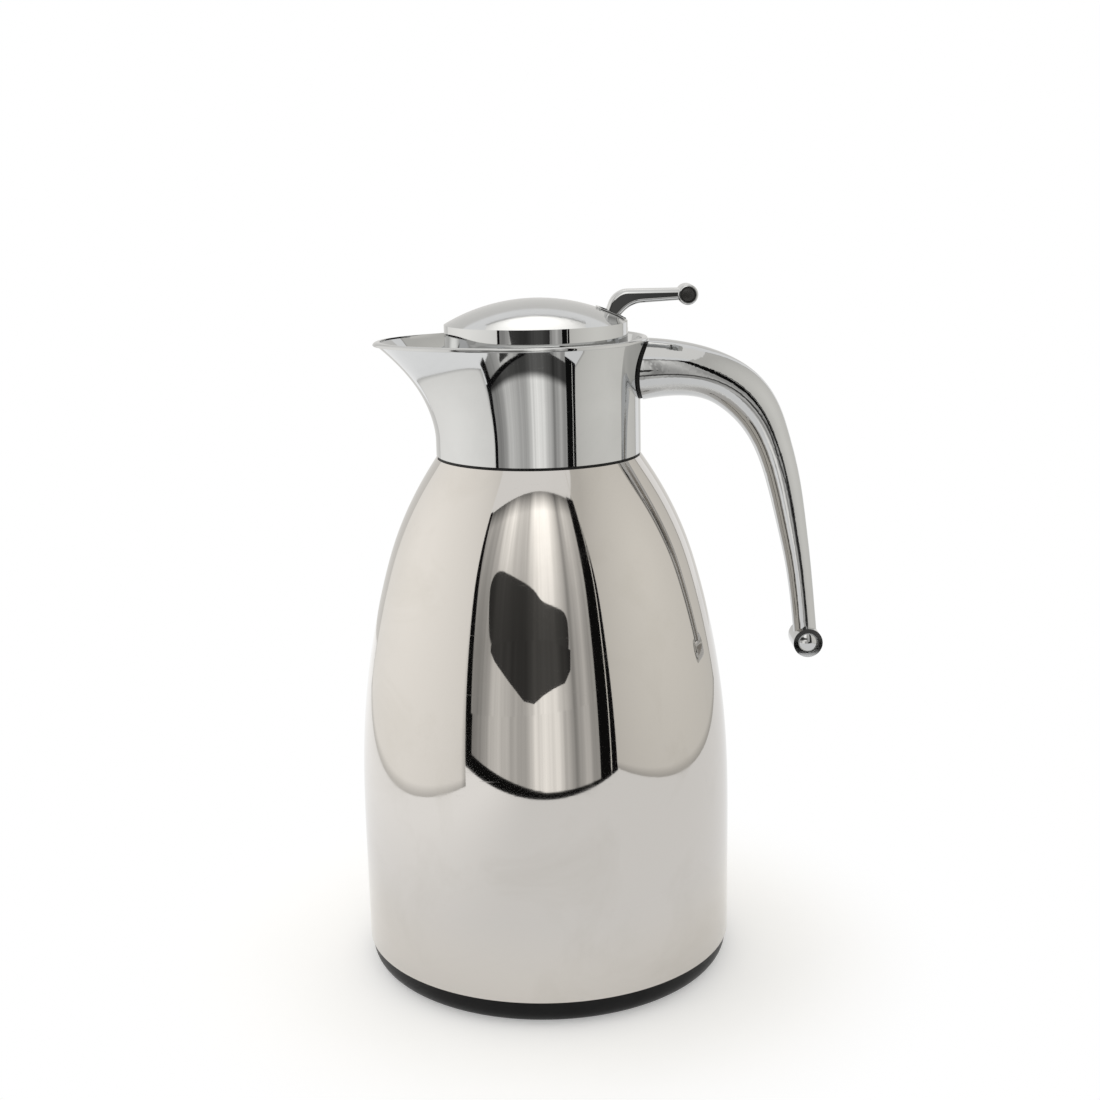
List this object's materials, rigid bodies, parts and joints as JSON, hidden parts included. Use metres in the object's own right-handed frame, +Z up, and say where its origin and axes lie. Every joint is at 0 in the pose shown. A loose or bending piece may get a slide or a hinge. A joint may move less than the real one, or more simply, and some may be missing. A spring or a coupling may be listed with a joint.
{
  "type": "insulated coffee pot",
  "caption": "Insulated coffee pot with a polished jacket over a glass flask, a spouted collar with a curved handle, and a screw-in stopper with a thumb lever.",
  "frame": {"origin": "on the pot's axis, at the plane of the foot that stands on the table", "axes": "+Z up along the pot's axis, -X towards the spout, +X towards the handle, Y across"},
  "size_m": [0.1728, 0.138, 0.2519],
  "materials": {
    "jacket": "polished stainless steel, mirror bright",
    "chrome": "bright chrome plate",
    "foot": "satin black",
    "moulded": "fine satin black",
    "glass": "clear, silvered on the vacuum side",
    "rubber": "matte silicone",
    "gasket": "matte black",
    "cap": "glossy dark",
    "steel": "plain turned steel"
  },
  "bodies": {
    "jug": {"body_shell": "jacket", "base_cap": "foot", "base_thread_ring": "moulded", "flask_inner": "glass", "flask_outer": "glass", "flask_cushion": "rubber", "flask_lip_seal": "rubber", "neck_sleeve": "moulded", "sleeve_seal": "rubber", "neck_nut": "moulded", "collar_gasket": "gasket", "collar": "chrome", "handle": "chrome", "handle_pad": "gasket", "handle_screws": "steel", "handle_end_caps": "cap"},
    "stopper_carrier": {"stopper_seal": "rubber"},
    "stopper": {"stopper_body": "moulded", "cover_seal": "rubber", "stopper_cover": "moulded", "stem_seal": "rubber", "lever_bracket": "moulded", "lever_pin": "steel", "bracket_screws": "steel", "lid_cap": "chrome", "lid_screws": "steel"},
    "lever": {"lever": "chrome", "lever_end_caps": "cap"},
    "valve": {"valve_stem": "steel", "valve_plug": "moulded", "valve_washer": "rubber", "stem_nut": "steel", "return_spring": "steel"}
  },
  "joints": [
    {"name": "stopper_lift", "type": "slide", "parent": "jug", "child": "stopper_carrier", "axis": [0, 0, 1], "range_m": [0, 0.014]},
    {"name": "stopper_turn", "type": "hinge", "parent": "stopper_carrier", "child": "stopper", "pos_m": [0, 0, 0.1841], "axis": [0, 0, 1], "range_deg": [0, 420.2]},
    {"name": "lever_press", "type": "hinge", "parent": "stopper", "child": "lever", "pos_m": [0.027, 0, 0.2349], "axis": [0, 1, 0], "range_deg": [0, 13.6]},
    {"name": "valve_lift", "type": "slide", "parent": "stopper", "child": "valve", "axis": [0, 0, 1], "range_m": [0, 0.00636], "stiffness_N_per_m": 400, "springref_m": -0.004, "deforming": ["return_spring"]}
  ],
  "couplings": [
    {"joint": "stopper_turn", "follows": "stopper_lift", "rad_per_m": 523.6},
    {"joint": "lever_press", "follows": "valve_lift", "rad_per_m": 37.037}
  ]
}
